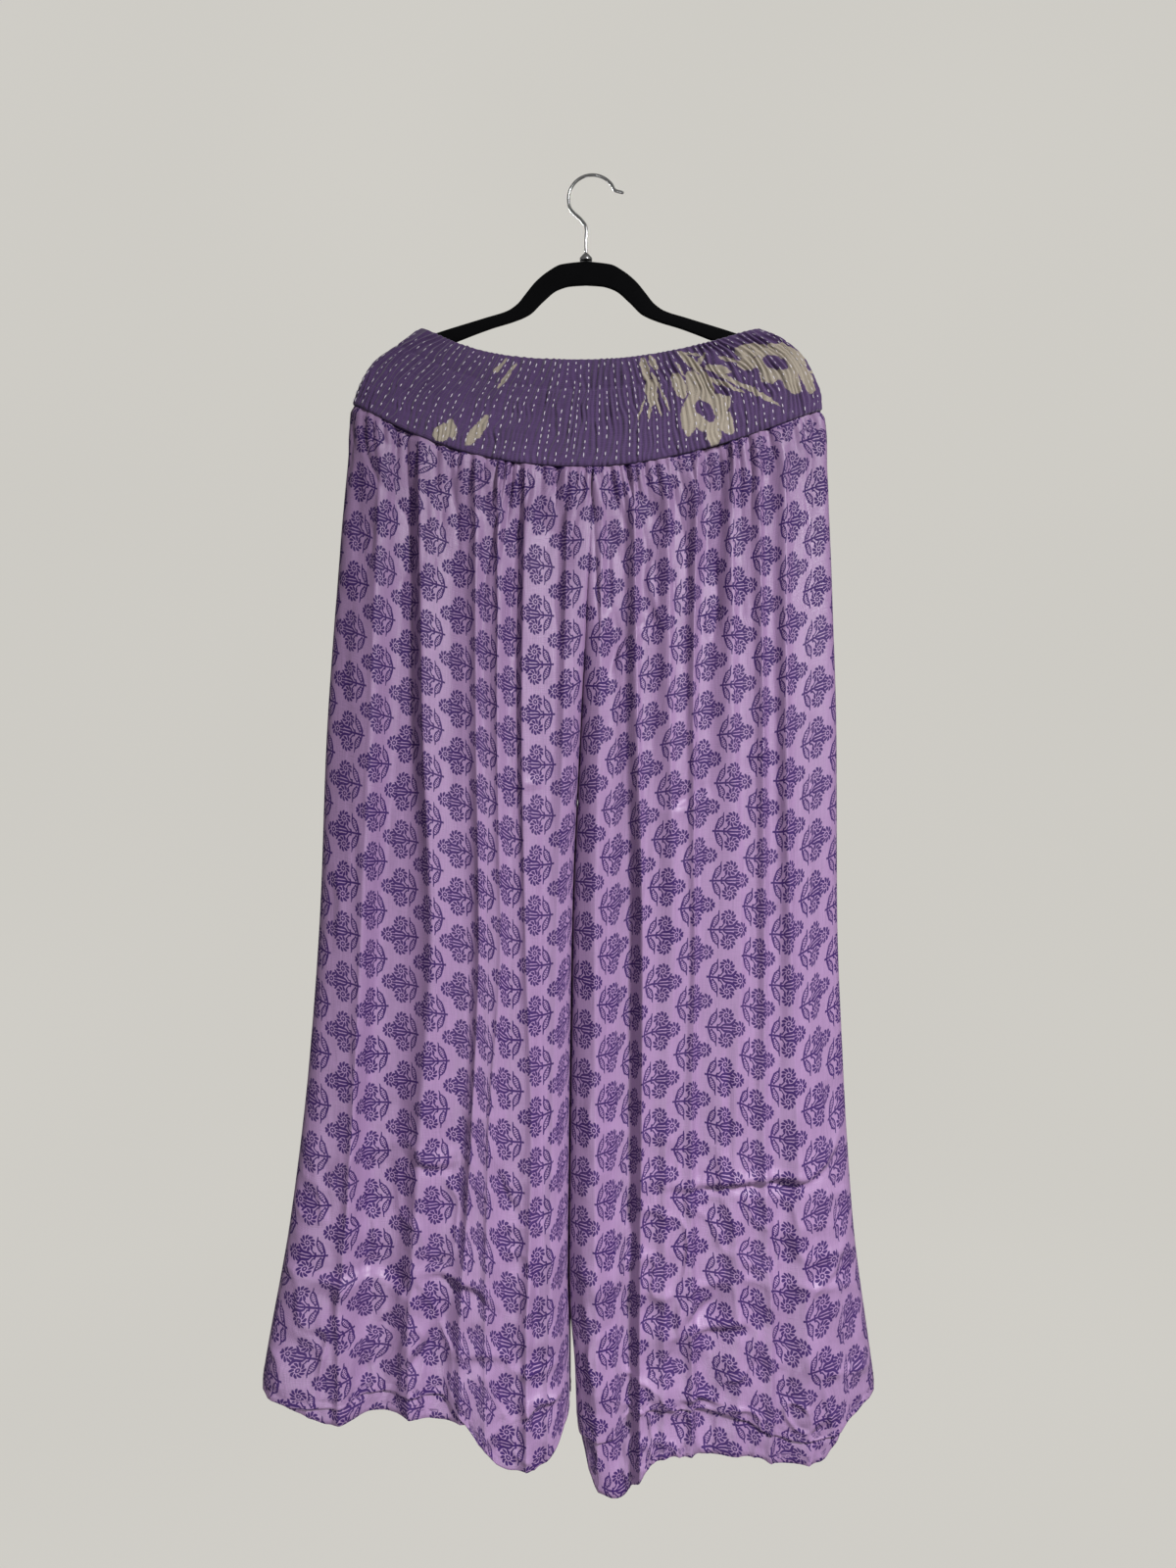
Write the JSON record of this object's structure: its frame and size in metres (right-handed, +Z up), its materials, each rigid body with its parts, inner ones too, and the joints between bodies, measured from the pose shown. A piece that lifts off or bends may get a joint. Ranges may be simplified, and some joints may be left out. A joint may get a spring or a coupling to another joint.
{
  "type": "butterfly pants on a hanger",
  "caption": "Very wide two-layer silk trousers with a shirred, quilted cotton waistband, hanging folded flat from side to side on a slim flocked hanger.",
  "frame": {"origin": "top of the inside of the hanger's hook, where the hanger hangs", "axes": "+Z up, +X to the right seen from the front, -Y out of the front"},
  "size_m": [0.593, 0.0653, 1.2739],
  "materials": {
    "printed_silk": "thin lavender silk with a soft sheen and a purple block print of small sprigs",
    "shirred_cotton": "matt purple cotton with a pale flower print, shirred and quilted with white running stitches",
    "black_flock": "short black velvet flock",
    "hook_steel": "bright plated steel wire"
  },
  "bodies": {
    "root": {"waistband": "shirred_cotton", "leg_front_left": "printed_silk", "leg_front_right": "printed_silk", "leg_back_left": "printed_silk", "leg_back_right": "printed_silk", "inner_leg_left": "printed_silk", "inner_leg_right": "printed_silk", "hanger_body": "black_flock", "hanger_collar": "hook_steel", "hanger_hook": "hook_steel"}
  },
  "joints": []
}
